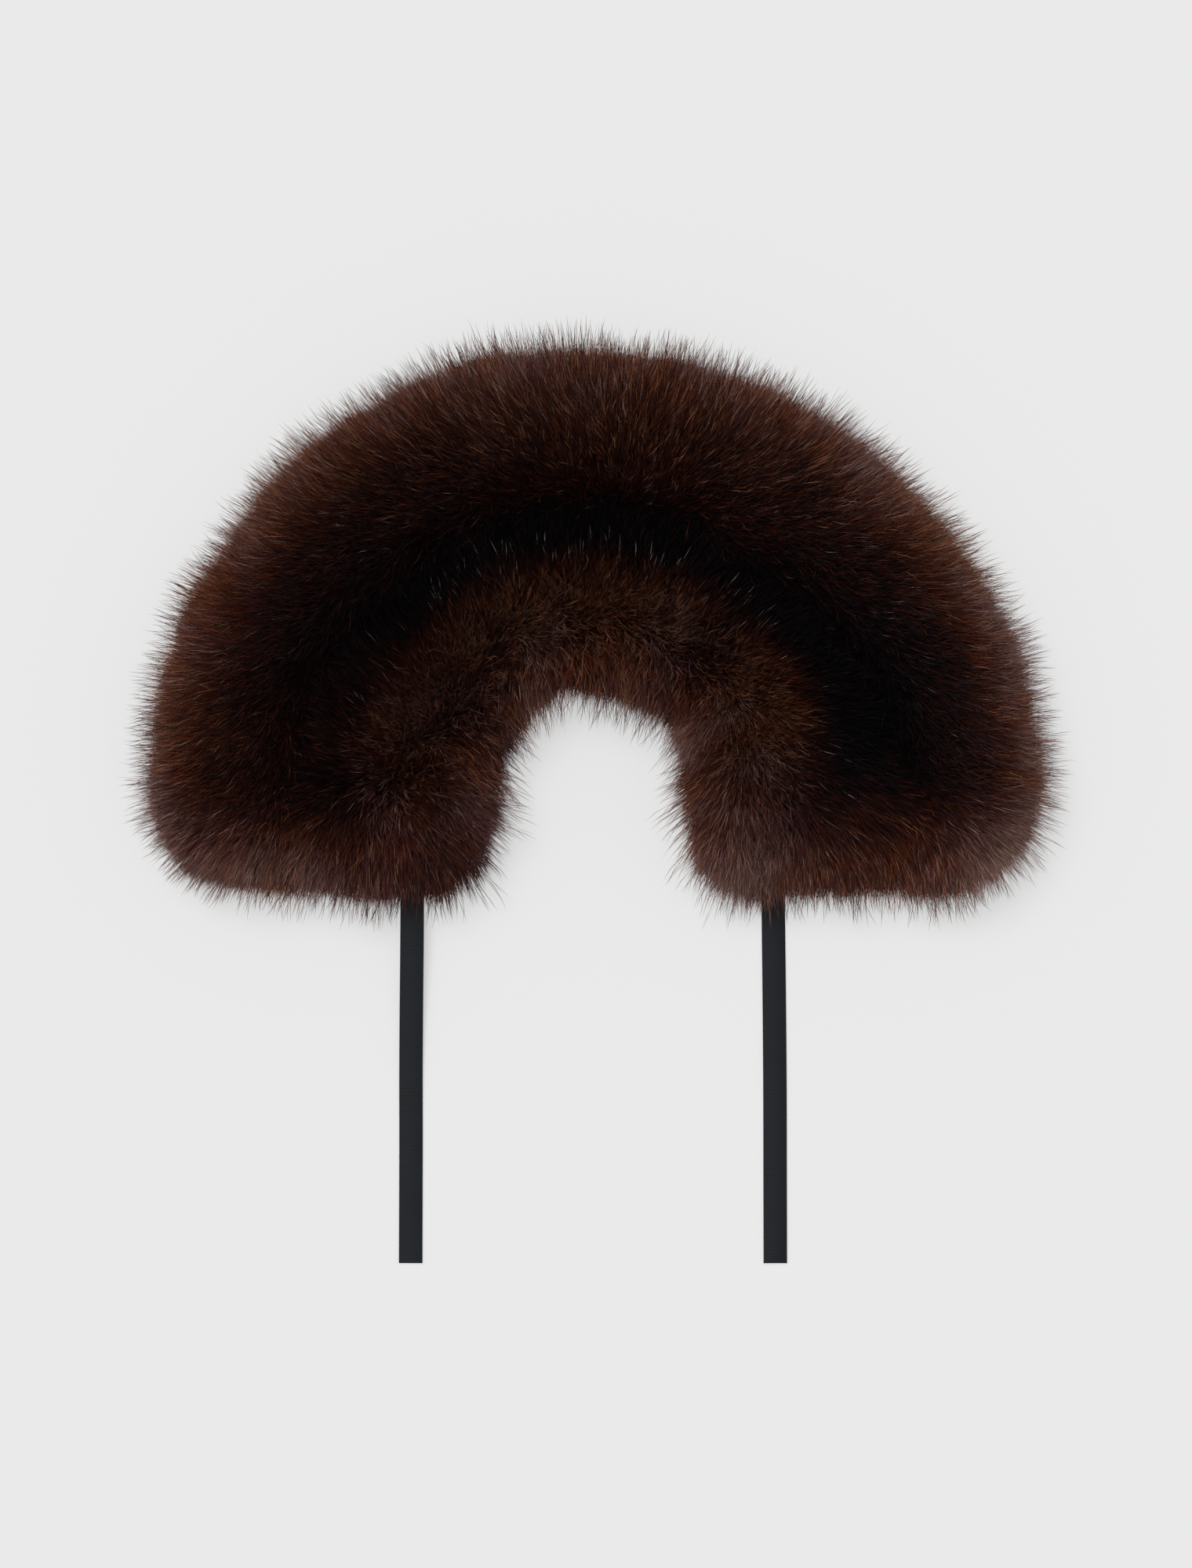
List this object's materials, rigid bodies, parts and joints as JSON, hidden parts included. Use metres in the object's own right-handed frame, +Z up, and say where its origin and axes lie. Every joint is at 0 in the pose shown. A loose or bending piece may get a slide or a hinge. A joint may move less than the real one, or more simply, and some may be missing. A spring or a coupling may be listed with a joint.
{
  "type": "fur collar wrap",
  "caption": "Horseshoe collar wrap of deep brown faux fur with a fall and a stand, laid flat, with a black grosgrain ribbon tie at each front end.",
  "frame": {"origin": "bottom centre of the whole part's box, on the surface that the collar lies on", "axes": "+Z up off the surface, +Y from the front ends and their ties to the back of the neck, +X to the right as seen from above"},
  "size_m": [0.4883, 0.4896, 0.0517],
  "materials": {
    "fur": "long pile",
    "ribbon": "ribbed, matte"
  },
  "bodies": {
    "root": {"fur_fall": "fur", "fur_stand": "fur", "ribbon_left": "ribbon", "ribbon_right": "ribbon"}
  },
  "joints": []
}
